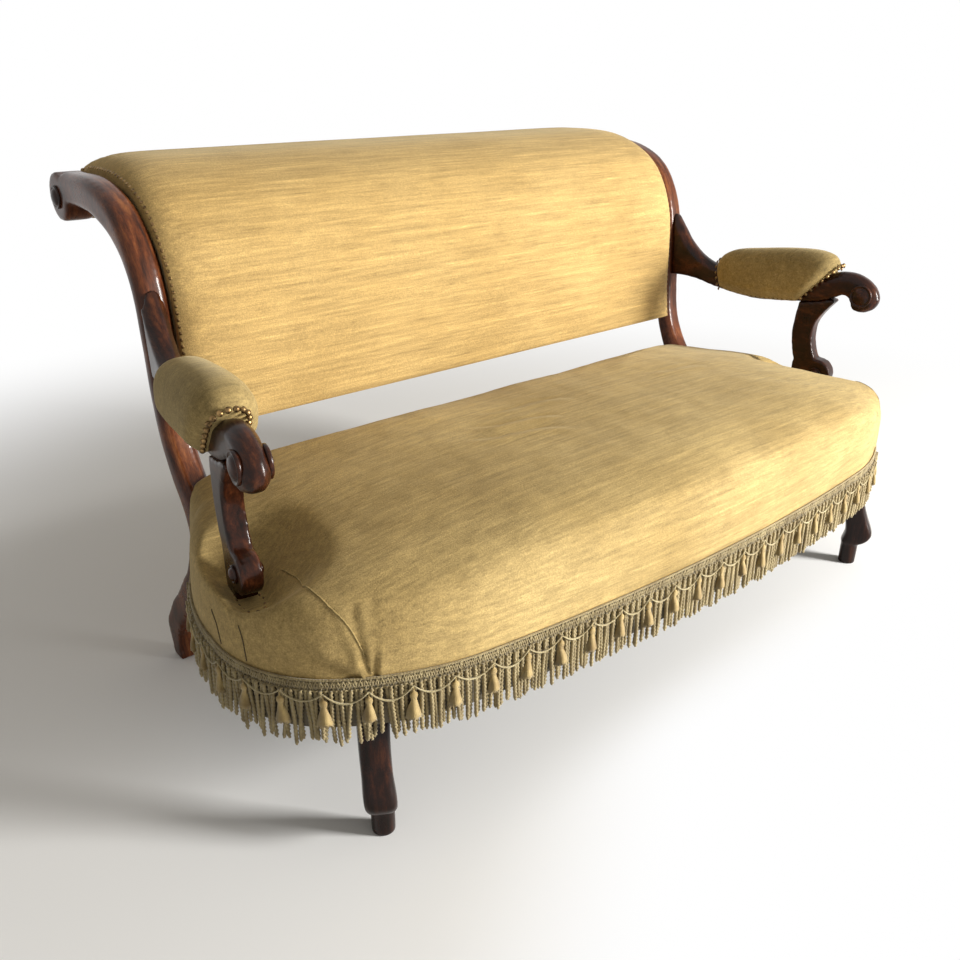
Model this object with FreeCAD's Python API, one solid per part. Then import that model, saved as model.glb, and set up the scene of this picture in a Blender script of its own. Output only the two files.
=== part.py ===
import FreeCAD, Part
import math
import os

# Upholstered show-wood settee with rolled back, open scrolled arms and a fringed bow-front seat.
# Units are millimetres, +Z is up, the front faces -Y and the sofa is symmetric about X = 0.
# Plan positions are measured from a line a little in front of the back; put() moves every
# piece so that the origin lies under the middle of the whole sofa, on the floor.

V = FreeCAD.Vector

# Clearances
touch_gap = 0.3         # between curved faces that meet
cloth_gap = 0.5         # between upholstery and the show wood it is cut around

# Back posts, one plank each, from the scroll down to the rear foot
back_half = 634.0       # middle of the sofa to the inner face of a post
post_thick = 53.0
post_round = 11.0       # softened front edges
post_back_round = 6.0   # softened rear edges
back_scroll_y = 640.0
back_scroll_z = 832.0
back_scroll_radius = 42.0
back_boss_radius = 20.0
leg_join_z = 300.0      # where the swept rear leg passes into the plank
rear_leg_splay = 29.0   # how far the rear foot stands out from the post
rear_foot_wide = 34.0

# Arms
arm_thick = 40.0
arm_splay = 9.9         # degrees that the arms open out towards the front
arm_beside = 30.0       # from the post's inner face to the arm's middle plane at the back
arm_back_y = 338.0      # depth of that place
arm_round = 12.0
arm_boss_y = -155.0
arm_boss_z = 586.0
arm_boss_radius = 24.0
boss_rise = 9.0         # how far each turned boss stands out

# Arm supports
support_thick = 34.0
support_shift = 4.0     # outward from the arm's middle plane
support_scroll_y = -80.0
support_scroll_z = 394.0
support_scroll_radius = 33.0
support_boss_radius = 14.0
support_foot_depth = 52.0
support_foot_y = -48.0
support_bare_z = 330.0  # the cover is cut away from the outer face above this height

# Arm pads
pad_side = 28.0         # padding outside each face of the arm
pad_edge = 6.5          # what is left of it where the cover is nailed

# Front legs
front_leg_in = 134.0    # from the widest part of the seat to the foot
front_leg_y = -270.0
front_leg_turn = 30.0   # degrees that the toes point outward
peg_height = 40.0
peg_radius = 17.5
leg_block = 50.0        # square top of the leg inside the seat frame
leg_block_back = 32.0   # block's middle behind the foot, along the leg's own direction

# Seat frame
seat_beyond_post = 106.0
seat_half = back_half + post_thick + seat_beyond_post
seat_front_y = -361.0
seat_rear_y = 262.0
seat_wide_y = -50.0     # where the seat is widest
rail_top = 295.0
rail_height = 68.0
rail_thick = 44.0
rail_inset = 10.0       # stuffing between the rails and the cover
back_rail_thick = 32.0
brace_size = 70.0
brace_height = 34.0

# Seat suspension and upholstery
web_width = 52.0
web_thick = 2.0
web_rows = 4
web_columns = 10
spring_wire = 4.0
spring_radius = 34.0
spring_waist = 24.0
spring_turns = 3
spring_rows = 2
spring_columns = 5
spring_sides = 6        # flats to each turn of a spring
spring_well_top = 398.0
seat_crown_z = 462.0
cushion_steps = 4       # flats to each arc of the soft pieces
bottom_cloth_thick = 1.5

# Back upholstery
back_bottom_z = 474.0
back_rail_height = 46.0
back_cover_thick = 2.5
roll_rail_radius = 27.0
bend_rail_radius = 9.0
bend_rail_station = 8   # station of the post's line where the bend rail sits
pad_edge_rise = 3.0     # the pad's nailed edge stands this far ahead of the post
back_web_thick = 2.0
back_web_width = 55.0
back_web_count = 7

# Fringe
braid_top = 291.0
braid_height = 21.0
braid_thick = 3.0
fringe_drop = 78.0      # hanging cords below the braid
tassel_pitch = 62.0
tassel_length = 52.0    # tassel from knot to tip
tassel_radius = 9.0
tassel_knot = 5.5
tassel_cord = 1.5
tassel_drop = 14.0      # from the braid to the top of the knot
tassel_thick = 7.0

# Outline of the post's middle line: y, z and depth of the wood across it
POST_LINE = [
    (236, 300, 57), (255, 352, 48), (293, 410, 40), (318, 470, 36), (329, 545, 35),
    (332, 630, 34), (338, 708, 34), (358, 762, 38), (391, 803, 48), (434, 829, 54),
    (500, 847, 54), (615, 850, 52),
]
pad_from = 3            # station where the upholstered back begins

# Swept rear leg's middle line, from the foot up into the plank
REAR_LEG = [
    (361, -15, 30), (364, 0, 34), (373, 30, 46), (377, 60, 56), (358, 96, 52), (318, 145, 50),
    (262, 220, 53), (236, 300, 57), (238, 316, 57),
]

# Arm outline, seen from the side
ARM_TOP = [(345, 750), (322, 721), (298, 689), (272, 655), (235, 625), (190, 608), (100, 599),
           (0, 603), (-66, 620), (-106, 631), (-142, 628), (-174, 610), (-190, 583), (-184, 561),
           (-166, 549)]
ARM_UNDER = [(-156, 549), (-140, 556), (-129, 577), (-116, 583), (-96, 574), (-60, 562), (20, 551),
             (100, 547), (188, 559), (262, 574), (345, 574)]

# Arm support's middle line: y, z and depth
SUPPORT_LINE = [(-60, 580, 84), (-46, 545, 62), (-36, 512, 50), (-34, 478, 48), (-40, 446, 48),
                (-50, 417, 50), (-58, 388, 50)]

# Arm pad: distance along the arm, underside, top, share of the full side padding, and how far
# the section's foot stands behind its top
ARM_PAD = [
    (-92, 557, 638, 0.3, 77), (-88, 557, 652, 0.72, 75), (-74, 556, 663, 0.93, 67),
    (-40, 555, 670, 1.0, 48), (20, 553, 668, 1.0, 16), (90, 551, 660, 1.0, 0),
    (158, 555, 650, 0.92, -8), (184, 561, 632, 0.55, -14), (194, 564, 619, 0.0, -16),
]
# Right half of the pad's section: share of the half width, and of the height
PAD_SECTION = [(0.97, 0.24), (1.0, 0.45), (0.92, 0.68), (0.7, 0.86), (0.38, 0.97)]

# Front leg: height, middle ahead of the foot, depth, width
FRONT_LEG = [
    (38, 2, 38, 38), (52, 9, 53, 45), (74, 13, 60, 47), (102, 5, 53, 46), (140, -8, 44, 43),
    (180, -17, 42, 43), (210, -27, 46, 47), (232, -32, 50, 50),
]

# Right half of the seat's outline as shares: of the half width, and of the depth ahead of the
# widest place (negative) or behind it
SEAT_OUTLINE = [
    (0, -1.0), (0.378, -0.977), (0.643, -0.904), (0.807, -0.778), (0.914, -0.605), (0.980, -0.370),
    (1.0, 0), (0.974, 0.359), (0.902, 0.737),
]
SEAT_CORNER = 0.865     # share of the half width at the rear corner

# Seat cover: height, then how far the outline is drawn in at the ends, front and rear
SEAT_LEVELS = [
    (227, 5, 4, 0.5), (291, 0, 0, 0.5), (345, 5, -5, 0.5), (380, 14, -2, 2), (402, 36, 4, 8),
    (422, 108, 15, 22), (438, 205, 42, 45), (452, 315, 90, 80), (seat_crown_z, 430, 150, 116),
]

# Back pad: how far its front stands ahead of the post's middle line, from bottom to roll
PAD_SWELL = [33, 41, 44, 44, 46, 50, 52, 54, 53]
# Back pad round the roll: degrees, and thickness over the rail
PAD_ROLL = [(110, 45), (58, 31), (18, 27), (-32, 22), (-80, 18)]
# Back pad along the sofa: distance in from the post, and share of the swell
PAD_ENDS = [(0, 0.0), (12, 0.45), (38, 0.82), (90, 1.0)]

front_most = seat_front_y - 2 * touch_gap - braid_thick - tassel_thick
rear_most = back_scroll_y + max((roll_rail_radius + over) * math.cos(math.radians(a)) for a, over in PAD_ROLL)
origin_y = (front_most + rear_most) / 2.0


def put(name, shape):
    """Moves a finished piece to the sofa's own origin and writes it."""
    piece = shape.copy()
    piece.translate(V(0, -origin_y, 0))
    piece.exportStep("parts/" + name + ".step")


def mirror_x(shape):
    return shape.mirror(V(0, 0, 0), V(1, 0, 0))


def arc_edge(a, b, tangent):
    """The arc that leaves a along the tangent and ends at b, or a line where they agree."""
    chord = b - a
    side = tangent - chord * (tangent.dot(chord) / chord.dot(chord))
    if side.Length < 1e-4:
        return Part.makeLine(a, b)
    turn = tangent.getAngle(chord)
    middle = (a + b) * 0.5 + side.normalize() * (chord.Length / 2.0 * math.tan(turn / 2.0))
    return Part.Arc(a, middle, b).toShape()


def smooth_path(points):
    """Two tangent arcs between each pair of points, so the whole line runs smoothly."""
    last = len(points) - 1
    tangents = []
    for i in range(last + 1):
        tangents.append((points[min(i + 1, last)] - points[max(i - 1, 0)]).normalize())
    edges = []
    for i in range(last):
        a, b = points[i], points[i + 1]
        ta, tb = tangents[i], tangents[i + 1]
        chord = b - a
        q = 2.0 * (1.0 - ta.dot(tb))
        r = chord.dot(ta + tb)
        if q < 1e-9:
            reach = chord.dot(chord) / (2.0 * r)
        else:
            reach = (-r + math.sqrt(r * r + q * chord.dot(chord))) / q
        meet = (a + ta * reach + b - tb * reach) * 0.5
        edges.append(arc_edge(a, meet, ta))
        edges.append(arc_edge(b, meet, tb * -1.0))
    return edges


def box(x0, x1, y0, y1, z0, z1):
    return Part.makeBox(x1 - x0, y1 - y0, z1 - z0, V(x0, y0, z0))


def ribbon_sides(line, grow=0.0):
    """Points along both sides of a middle line given as (y, z, depth)."""
    front = []
    rear = []
    last = len(line) - 1
    for i, (y, z, depth) in enumerate(line):
        before = line[max(i - 1, 0)]
        after = line[min(i + 1, last)]
        run = math.hypot(after[0] - before[0], after[1] - before[1])
        ny = -(after[1] - before[1]) / run
        nz = (after[0] - before[0]) / run
        half = depth / 2.0 + grow
        front.append(V(0, y + ny * half, z + nz * half))
        rear.append(V(0, y - ny * half, z - nz * half))
    return front, rear


def closed_face(front, rear):
    """The face between two smooth side lines, closed by straight ends."""
    edges = smooth_path(front) + smooth_path(rear)
    edges.append(Part.makeLine(front[-1], rear[-1]))
    edges.append(Part.makeLine(rear[0], front[0]))
    return Part.Face(Part.Wire(Part.__sortEdges__(edges)))


def plank(front, rear, thick, x_mid=0.0):
    """Extrudes an outline in the YZ plane to a board with its middle at x_mid."""
    outline = closed_face(front, rear)
    outline.translate(V(x_mid - thick / 2.0, 0, 0))
    return outline.extrude(V(thick, 0, 0))


def edges_along(solid, points, reach):
    """Edges in the YZ plane whose middle lies within reach of a smooth line through points."""
    line = Part.Wire(smooth_path(points))
    found = []
    for edge in solid.Edges:
        if edge.BoundBox.XLength > 0.1:
            continue
        middle = edge.valueAt((edge.FirstParameter + edge.LastParameter) / 2.0)
        spot = Part.Vertex(V(0, middle.y, middle.z))
        if line.distToShape(spot)[0] < reach:
            found.append(edge)
    return found


def scroll_disc(y, z, radius, thick, x_mid=0.0):
    return Part.makeCylinder(radius, thick, V(x_mid - thick / 2.0, y, z), V(1, 0, 0))


def flat_face(*corners):
    return Part.Face(Part.makePolygon(list(corners) + [corners[0]]))


def faceted(rings):
    """A closed solid of flat triangles between rings of points, with a flat face at each end."""
    faces = [flat_face(*rings[0]), flat_face(*rings[-1])]
    for near, far in zip(rings, rings[1:]):
        for i in range(len(near)):
            faces.append(flat_face(near[i - 1], near[i], far[i]))
            faces.append(flat_face(near[i - 1], far[i], far[i - 1]))
    return Part.makeSolid(Part.makeShell(faces))


def points_on(edges, steps):
    """Points along edges that follow each other, each arc in equal steps; the last end is left out."""
    points = []
    for edge in edges:
        count = steps if edge.Curve.TypeId == "Part::GeomCircle" else 1
        points += edge.discretize(Number=count + 1)[:-1]
    return points


def turned_boss(y, z, radius, face_x, direction):
    """A low turned button that sits on a scroll's flat face."""
    start = face_x if direction > 0 else face_x - boss_rise
    return Part.makeCylinder(radius, boss_rise, V(start, y, z), V(1, 0, 0))


def seat_points(side, front, back):
    """Key points of the right half of the bow-front seat, drawn in by the given amounts."""
    reach_x = seat_half - side
    reach_front = seat_wide_y - seat_front_y - front
    reach_back = seat_rear_y - back - seat_wide_y
    points = []
    for x, y in SEAT_OUTLINE:
        reach = reach_front if y < 0 else reach_back
        points.append((x * reach_x, seat_wide_y + y * reach))
    return points, (SEAT_CORNER * reach_x, seat_rear_y - back)


def seat_edges(z, side, front, back):
    """The seat's closed outline: a front bow, two arcs at each corner, a side arc and a rear line."""
    p, corner = seat_points(side, front, back)

    def at(point, sign=1):
        return V(sign * point[0], point[1], z)

    bow = Part.Arc(at(p[2], -1), at(p[0]), at(p[2])).toShape()
    right = [
        Part.Arc(at(p[2]), at(p[3]), at(p[4])).toShape(),
        Part.Arc(at(p[4]), at(p[5]), at(p[6])).toShape(),
        Part.Arc(at(p[6]), at(p[7]), at(p[8])).toShape(),
        Part.makeLine(at(p[8]), at(corner)),
    ]
    left = [
        Part.makeLine(at(corner, -1), at(p[8], -1)),
        Part.Arc(at(p[8], -1), at(p[7], -1), at(p[6], -1)).toShape(),
        Part.Arc(at(p[6], -1), at(p[5], -1), at(p[4], -1)).toShape(),
        Part.Arc(at(p[4], -1), at(p[3], -1), at(p[2], -1)).toShape(),
    ]
    rear = Part.makeLine(at(corner), at(corner, -1))
    return [bow] + right + [rear] + left


def seat_slab(inset, z0, z1):
    """A slab with the seat's outline, the same distance inside it all round."""
    wire = Part.Wire(seat_edges(z0, inset, inset, inset))
    return Part.Face(wire).extrude(V(0, 0, z1 - z0))


def rear_leg(x_mid, grow):
    """The swept rear leg: its side outline, tapered and splayed outward by a wedge."""
    front, rear = ribbon_sides(REAR_LEG, grow)
    top = leg_join_z
    side = plank(front, rear, 4 * post_thick, x_mid)
    half_top = post_thick / 2.0 + grow
    half_foot = rear_foot_wide / 2.0 + grow
    foot_x = x_mid + rear_leg_splay
    corners = [
        V(x_mid - half_top, 0, top + post_thick), V(x_mid + half_top, 0, top + post_thick),
        V(x_mid + half_top, 0, top), V(foot_x + half_foot, 0, 0),
        V(foot_x - half_foot, 0, 0), V(x_mid - half_top, 0, top),
    ]
    wedge = Part.Face(Part.makePolygon(corners + corners[:1])).extrude(V(0, 2 * back_scroll_y, 0))
    return side.common(wedge)


def post(grow=0.0):
    """Right back post with its scroll and rear leg; grow thickens it for cutting neighbours."""
    x_mid = back_half + post_thick / 2.0
    thick = post_thick + 2 * grow
    front, rear = ribbon_sides(POST_LINE, grow)
    upper = plank(front, rear, thick, x_mid)
    radius = back_scroll_radius + grow
    disc = scroll_disc(back_scroll_y, back_scroll_z, radius, thick, x_mid)
    if grow == 0.0:
        upper = upper.makeChamfer(post_round, edges_along(upper, front, 1.0))
        upper = upper.makeChamfer(post_back_round, edges_along(upper, rear, 1.0))
    return upper.fuse([disc, rear_leg(x_mid, grow)])


def place_on_arm(shape):
    """Moves a piece drawn about the arm's own middle plane to the right arm."""
    placed = shape.copy()
    placed.translate(V(0, -arm_back_y, 0))
    placed.rotate(V(0, 0, 0), V(0, 0, 1), arm_splay)
    placed.translate(V(back_half + arm_beside, arm_back_y, 0))
    return placed


def biggest(shape):
    return max(shape.Solids, key=lambda solid: solid.Volume)


def arm_body(grow=0.0, thick=arm_thick):
    top = [V(0, y, z + grow) for y, z in ARM_TOP]
    under = [V(0, y, z - grow) for y, z in ARM_UNDER]
    body = plank(top, under[::-1], thick + 2 * grow)
    if grow == 0.0:
        body = body.makeChamfer(arm_round, edges_along(body, top[:-1], 1.0))
    return body


def support(grow=0.0):
    """C-shaped support with its forward scroll and a square foot on the side rail."""
    front, rear = ribbon_sides(SUPPORT_LINE, grow)
    thick = support_thick + 2 * grow
    body = plank(front, rear, thick)
    radius = support_scroll_radius + grow
    disc = scroll_disc(support_scroll_y, support_scroll_z, radius, thick)
    half = support_foot_depth / 2.0 + grow
    foot = box(-thick / 2.0, thick / 2.0, support_foot_y - half, support_foot_y + half,
               rail_top - grow, SUPPORT_LINE[-2][1])
    whole = body.fuse([disc, foot])
    whole.translate(V(support_shift, 0, 0))
    return whole


def arm_pad():
    """Stuffed pad lofted through domed sections and cut to sit over the arm like a saddle."""
    sections = []
    for y, low, high, share, lean in ARM_PAD:
        half_low = arm_thick / 2.0 + pad_edge
        half = half_low + (pad_side - pad_edge) * share
        tall = high - low
        corners = [V(half_low, y + lean, low)]
        corners += [V(half * x, y + lean * (1 - rise), low + tall * rise) for x, rise in PAD_SECTION]
        sections.append(corners + [V(0, y, high)] + [V(-c.x, c.y, c.z) for c in reversed(corners)])
    return biggest(faceted(sections).cut(arm_body(cloth_gap)))


def make_posts():
    right = post()
    put("back_post_right", right)
    put("back_post_left", mirror_x(right))
    boss = turned_boss(back_scroll_y, back_scroll_z, back_boss_radius, back_half + post_thick, 1)
    put("back_scroll_bosses", Part.makeCompound([boss, mirror_x(boss)]))


def make_arms(post_cutter):
    right = biggest(place_on_arm(arm_body()).cut(post_cutter))
    put("arm_right", right)
    put("arm_left", mirror_x(right))
    bosses = []
    for side in (-1, 1):
        button = turned_boss(arm_boss_y, arm_boss_z, arm_boss_radius, side * arm_thick / 2.0, side)
        bosses.append(place_on_arm(button))
    bosses += [mirror_x(b) for b in bosses]
    put("arm_scroll_bosses", Part.makeCompound(bosses))
    pad = place_on_arm(arm_pad())
    put("arm_pad_right", pad)
    put("arm_pad_left", mirror_x(pad))


def support_bosses(grow=0.0):
    """Both turned buttons of the right support's scroll."""
    bosses = []
    for side in (-1, 1):
        face = support_shift + side * support_thick / 2.0
        button = turned_boss(support_scroll_y, support_scroll_z, support_boss_radius + grow, face, side)
        bosses.append(place_on_arm(button))
    return bosses


def make_supports():
    under_arm = support().cut(arm_body(touch_gap, 3 * arm_thick))
    right = place_on_arm(min(under_arm.Solids, key=lambda solid: solid.BoundBox.ZMin))
    put("arm_support_right", right)
    put("arm_support_left", mirror_x(right))
    bosses = support_bosses()
    bosses += [mirror_x(b) for b in bosses]
    put("support_scroll_bosses", Part.makeCompound(bosses))


def place_front_leg(shape):
    placed = shape.copy()
    placed.rotate(V(0, 0, 0), V(0, 0, 1), front_leg_turn)
    placed.translate(V(seat_half - front_leg_in, front_leg_y, 0))
    return placed


def leg_block_box(grow=0.0, through=0.0, below=0.0):
    """The square top of the front leg, or a longer cutter for the rails that end at its sides."""
    half = leg_block / 2.0 + grow
    return box(-half, half, leg_block_back - half - through, leg_block_back + half + through,
               FRONT_LEG[-1][0] - 1.0 - below, rail_top + grow)


def front_leg():
    """Sawn cabriole leg: its side and front outlines intersected, over a tapered peg."""
    toe = [V(0, -(mid + deep / 2.0), z) for z, mid, deep, wide in FRONT_LEG]
    heel = [V(0, -(mid - deep / 2.0), z) for z, mid, deep, wide in FRONT_LEG]
    outer = [V(0, -wide / 2.0, z) for z, mid, deep, wide in FRONT_LEG]
    inner = [V(0, wide / 2.0, z) for z, mid, deep, wide in FRONT_LEG]
    side = plank(toe, heel, 3 * leg_block)
    front = plank(outer, inner, 6 * leg_block)
    front.rotate(V(0, 0, 0), V(0, 0, 1), 90)
    peg = Part.makeCylinder(peg_radius, peg_height)
    return side.common(front).fuse([peg, leg_block_box()])


def make_front_legs():
    right = place_front_leg(front_leg())
    put("front_leg_right", right)
    put("front_leg_left", mirror_x(right))
    return right


def make_seat_frame(post_cutter):
    """Bowed front rail, curved side rails and a straight back rail, with corner blocks."""
    low = rail_top - rail_height
    ring = seat_slab(rail_inset, low, rail_top).cut(seat_slab(rail_inset + rail_thick, low, rail_top))
    legs = place_front_leg(leg_block_box(through=rail_thick, below=rail_height))
    ring = ring.cut(legs).cut(mirror_x(legs))
    front, rear = ribbon_sides(REAR_LEG, touch_gap)
    seat_reach = 2 * rail_thick + post_thick
    behind = plank(front, [p + V(0, seat_rear_y, 0) for p in rear], 2 * seat_reach, back_half + post_thick)
    bow = min(ring.Solids, key=lambda solid: solid.CenterOfMass.y)
    put("front_seat_rail", bow)
    outside = box(back_half, seat_half, seat_front_y, seat_rear_y, low, rail_top)
    right = biggest(ring.cut([bow, behind]).common(outside))
    put("side_seat_rail_right", right)
    put("side_seat_rail_left", mirror_x(right))
    rear_face = seat_rear_y - rail_inset
    half = back_half - touch_gap
    put("back_seat_rail", box(-half, half, rear_face - back_rail_thick, rear_face, low, rail_top))
    inside = seat_slab(rail_inset + rail_thick + touch_gap, rail_top - brace_height, rail_top)
    braces = []
    for x, y, turn in ((seat_half - front_leg_in, front_leg_y, 45), (back_half, rear_face, -45)):
        brace = box(-brace_size, brace_size, -brace_size, brace_size, rail_top - brace_height, rail_top)
        brace.rotate(V(0, 0, 0), V(0, 0, 1), turn)
        brace.translate(V(x, y, 0))
        back_edge = rear_face - back_rail_thick - touch_gap
        brace = brace.common(inside).common(box(0, seat_half, seat_front_y, back_edge, low, rail_top))
        brace = biggest(brace.cut(place_front_leg(leg_block_box(touch_gap))).cut(post_cutter))
        braces += [brace, mirror_x(brace)]
    put("corner_blocks", Part.makeCompound(braces))


def make_seat_webbing(post_cutter, leg):
    """Rows of webbing under the rails, with crossing strips below them and a dust cloth."""
    low = rail_top - rail_height
    inset = rail_inset + rail_thick / 2.0
    area = seat_slab(inset, low - web_thick, low)
    strips = []
    depth = seat_rear_y - seat_front_y
    pitch = depth / (web_rows + 1.0)
    for i in range(web_rows):
        y = seat_front_y + pitch * (i + 1)
        row = box(-seat_half, seat_half, y - web_width / 2.0, y + web_width / 2.0, low - web_thick, low)
        strips.append(row.common(area))
    area.translate(V(0, 0, -web_thick - touch_gap))
    pitch = 2.0 * (seat_half - inset) / (web_columns + 1.0)
    for i in range(web_columns):
        x = inset - seat_half + pitch * (i + 1)
        top = low - web_thick - touch_gap
        column = box(x - web_width / 2.0, x + web_width / 2.0, seat_front_y, seat_rear_y, top - web_thick, top)
        strips.append(column.common(area))
    obstacles = [post_cutter, mirror_x(post_cutter), leg, mirror_x(leg)]
    webbing = Part.makeCompound([strip.cut(obstacles) for strip in strips])
    put("seat_webbing", webbing)
    cloth_top = low - 2 * web_thick - 2 * touch_gap
    cloth = seat_slab(rail_inset, cloth_top - bottom_cloth_thick, cloth_top)
    put("bottom_cloth", biggest(cloth.cut(obstacles)))


def seat_spring():
    """Waisted coil spring of square wire, standing on z = 0."""
    height = spring_well_top - (rail_top - rail_height) - 2 * touch_gap - spring_wire
    steps = spring_sides * spring_turns
    rise = V(0, 0, spring_wire)
    rings = []
    for i in range(steps + 1):
        angle = 2 * math.pi * i / spring_sides
        share = i / float(steps)
        radius = spring_waist + (spring_radius - spring_waist) * abs(2 * share - 1)
        out = V(math.cos(angle), math.sin(angle), 0)
        near = out * (radius - spring_wire / 2.0) + V(0, 0, height * share)
        far = near + out * spring_wire
        rings.append([near, far, far + rise, near + rise])
    return faceted(rings)


def make_seat_springs():
    base = rail_top - rail_height + touch_gap
    spring = seat_spring()
    springs = []
    pitch_x = 2.0 * (seat_half - 2 * rail_thick) / spring_columns
    pitch_y = (seat_rear_y - seat_front_y) / (web_rows + 1.0)
    for row in range(spring_rows):
        for column in range(spring_columns):
            x = pitch_x * (column - (spring_columns - 1) / 2.0)
            y = seat_front_y + pitch_y * (2 * row + 1.5)
            copy = spring.copy()
            copy.translate(V(x, y, base))
            springs.append(copy)
    put("seat_springs", Part.makeCompound(springs))


def make_seat_cushion():
    """Domed seat with drawn-in sides, hollow over the springs and cut around the show wood."""
    low = SEAT_LEVELS[0][0]
    dome = faceted([points_on(seat_edges(*level), cushion_steps) for level in SEAT_LEVELS])
    frame_room = seat_slab(rail_inset - touch_gap, low - 1.0, rail_top + touch_gap)
    well = seat_slab(rail_inset + rail_thick, rail_top, spring_well_top)
    bare = box(support_shift, 2 * seat_half - seat_front_y, support_foot_y - support_foot_depth / 2.0 - cloth_gap,
               support_foot_y + support_foot_depth / 2.0 + cloth_gap, support_bare_z, seat_crown_z)
    around = [post(cloth_gap), place_on_arm(support(cloth_gap).fuse(bare))] + support_bosses(cloth_gap)
    around += [mirror_x(shape) for shape in around]
    put("seat_cushion", biggest(dome.cut([frame_room, well] + around)))


def back_station(index, ahead):
    """A point of the post's middle line moved forward, square to the line."""
    before = POST_LINE[max(index - 1, 0)]
    after = POST_LINE[min(index + 1, len(POST_LINE) - 1)]
    run = math.hypot(after[0] - before[0], after[1] - before[1])
    y, z, depth = POST_LINE[index]
    return V(0, y - ahead * (after[1] - before[1]) / run, z + ahead * (after[0] - before[0]) / run)


def roll_point(angle, reach):
    a = math.radians(angle)
    return V(0, back_scroll_y + reach * math.cos(a), back_scroll_z + reach * math.sin(a))


def pad_ring(x, share):
    """Points round the back pad at one place along the sofa."""
    outer = []
    for i, swell in enumerate(PAD_SWELL):
        edge = POST_LINE[pad_from + i][2] / 2.0 + pad_edge_rise
        outer.append(back_station(pad_from + i, edge + (swell - edge) * share))
    lining = back_web_thick + 2 * touch_gap
    inner = [back_station(pad_from + i, lining) for i in range(len(PAD_SWELL))]
    for angle, over in PAD_ROLL:
        edge = back_scroll_radius - roll_rail_radius
        outer.append(roll_point(angle, roll_rail_radius + edge + (over - edge) * share))
        inner.append(roll_point(angle, roll_rail_radius + lining))
    ring = outer + inner[::-1]
    return [V(x, p.y, p.z) for p in ring]


def make_back(post_cutter):
    inside = back_half - touch_gap
    roll_start = V(-inside, back_scroll_y, back_scroll_z)
    put("back_roll_rail", Part.makeCylinder(roll_rail_radius, 2 * inside, roll_start, V(1, 0, 0)))
    around_roll = Part.makeCylinder(roll_rail_radius + touch_gap, 2 * inside, roll_start, V(1, 0, 0))
    bend = back_station(bend_rail_station, -bend_rail_radius - touch_gap)
    bend.x = -inside
    put("back_bend_rail", Part.makeCylinder(bend_rail_radius, 2 * inside, bend, V(1, 0, 0)))
    line = POST_LINE[pad_from:]
    depth_low = line[0][2] / 2.0 - back_cover_thick - touch_gap
    rail_front = [back_station(pad_from, 0), back_station(pad_from + 1, 0)]
    share = back_rail_height / (rail_front[1].z - rail_front[0].z)
    rail_front[1] = rail_front[0] + (rail_front[1] - rail_front[0]) * share
    rail_rear = [p + V(0, depth_low, 0) for p in rail_front]
    put("back_bottom_rail", plank(rail_front, rail_rear, 2 * inside))
    count = len(line)
    near = [back_station(pad_from + i, touch_gap) for i in range(count)]
    far = [back_station(pad_from + i, touch_gap + back_web_thick) for i in range(count)]
    near.append(roll_point(PAD_ROLL[0][0], roll_rail_radius + touch_gap))
    far.append(roll_point(PAD_ROLL[0][0], roll_rail_radius + touch_gap + back_web_thick))
    strips = []
    pitch = 2.0 * back_half / back_web_count
    for i in range(back_web_count):
        x = pitch * (i - (back_web_count - 1) / 2.0)
        strip = flat_face(*(far + near[::-1]))
        strip.translate(V(x - back_web_width / 2.0, 0, 0))
        strips.append(strip.extrude(V(back_web_width, 0, 0)))
    put("back_webbing", Part.makeCompound(strips))
    sections = []
    for inward, swell_share in PAD_ENDS:
        sections.append(pad_ring(-inside + inward, swell_share))
    for inward, swell_share in reversed(PAD_ENDS):
        sections.append(pad_ring(inside - inward, swell_share))
    put("back_pad", biggest(faceted(sections).cut(around_roll)))
    outside = [back_station(pad_from + i, -line[i][2] / 2.0) for i in range(count)]
    within = [back_station(pad_from + i, back_cover_thick - line[i][2] / 2.0) for i in range(count)]
    put("back_cover", biggest(plank(within, outside, 2 * inside).cut(around_roll)))


def trim_ring(z0, z1):
    """A band round the front and sides of the seat, as thick as the braid."""
    outer = seat_slab(-touch_gap - braid_thick, z0, z1)
    ring = outer.cut(seat_slab(-touch_gap, z0, z1))
    end_y = seat_points(0, 0, 0)[0][-1][1]
    return ring.common(box(-2 * seat_half, 2 * seat_half, 2 * seat_front_y, end_y, z0, z1))


def tassel():
    """A flat-backed tassel hanging from z = 0 and facing -Y."""
    knot = tassel_drop + tassel_knot
    outline = [(tassel_cord, 0), (tassel_cord, tassel_drop), (tassel_knot, knot), (tassel_knot * 0.6, knot + tassel_knot),
               (tassel_radius, tassel_drop + tassel_length)]
    corners = [V(x, 0, -drop) for x, drop in outline]
    corners += [V(-c.x, 0, c.z) for c in reversed(corners)]
    return flat_face(*corners).extrude(V(0, -tassel_thick, 0))


def make_fringe():
    braid_low = braid_top - braid_height
    put("braid_heading", trim_ring(braid_low, braid_top))
    put("fringe_skirt", trim_ring(braid_low - fringe_drop, braid_low))
    out = -2 * touch_gap - braid_thick
    outline = seat_edges(braid_low, out, out, out)
    path = Part.Wire(Part.__sortEdges__([e for e in outline if e.Curve.TypeId == "Part::GeomCircle"]))
    count = int(path.Length / tassel_pitch)
    spots = path.discretize(Number=2 * count + 1)
    model = tassel()
    tassels = []
    for i in range(1, 2 * count, 2):
        along = spots[i + 1] - spots[i - 1]
        turn = math.degrees(math.atan2(along.y, along.x))
        if spots[0].x > spots[-1].x:
            turn += 180.0
        one = model.copy()
        one.rotate(V(0, 0, 0), V(0, 0, 1), turn)
        one.translate(spots[i])
        tassels.append(one)
    put("tassels", Part.makeCompound(tassels))


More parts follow.
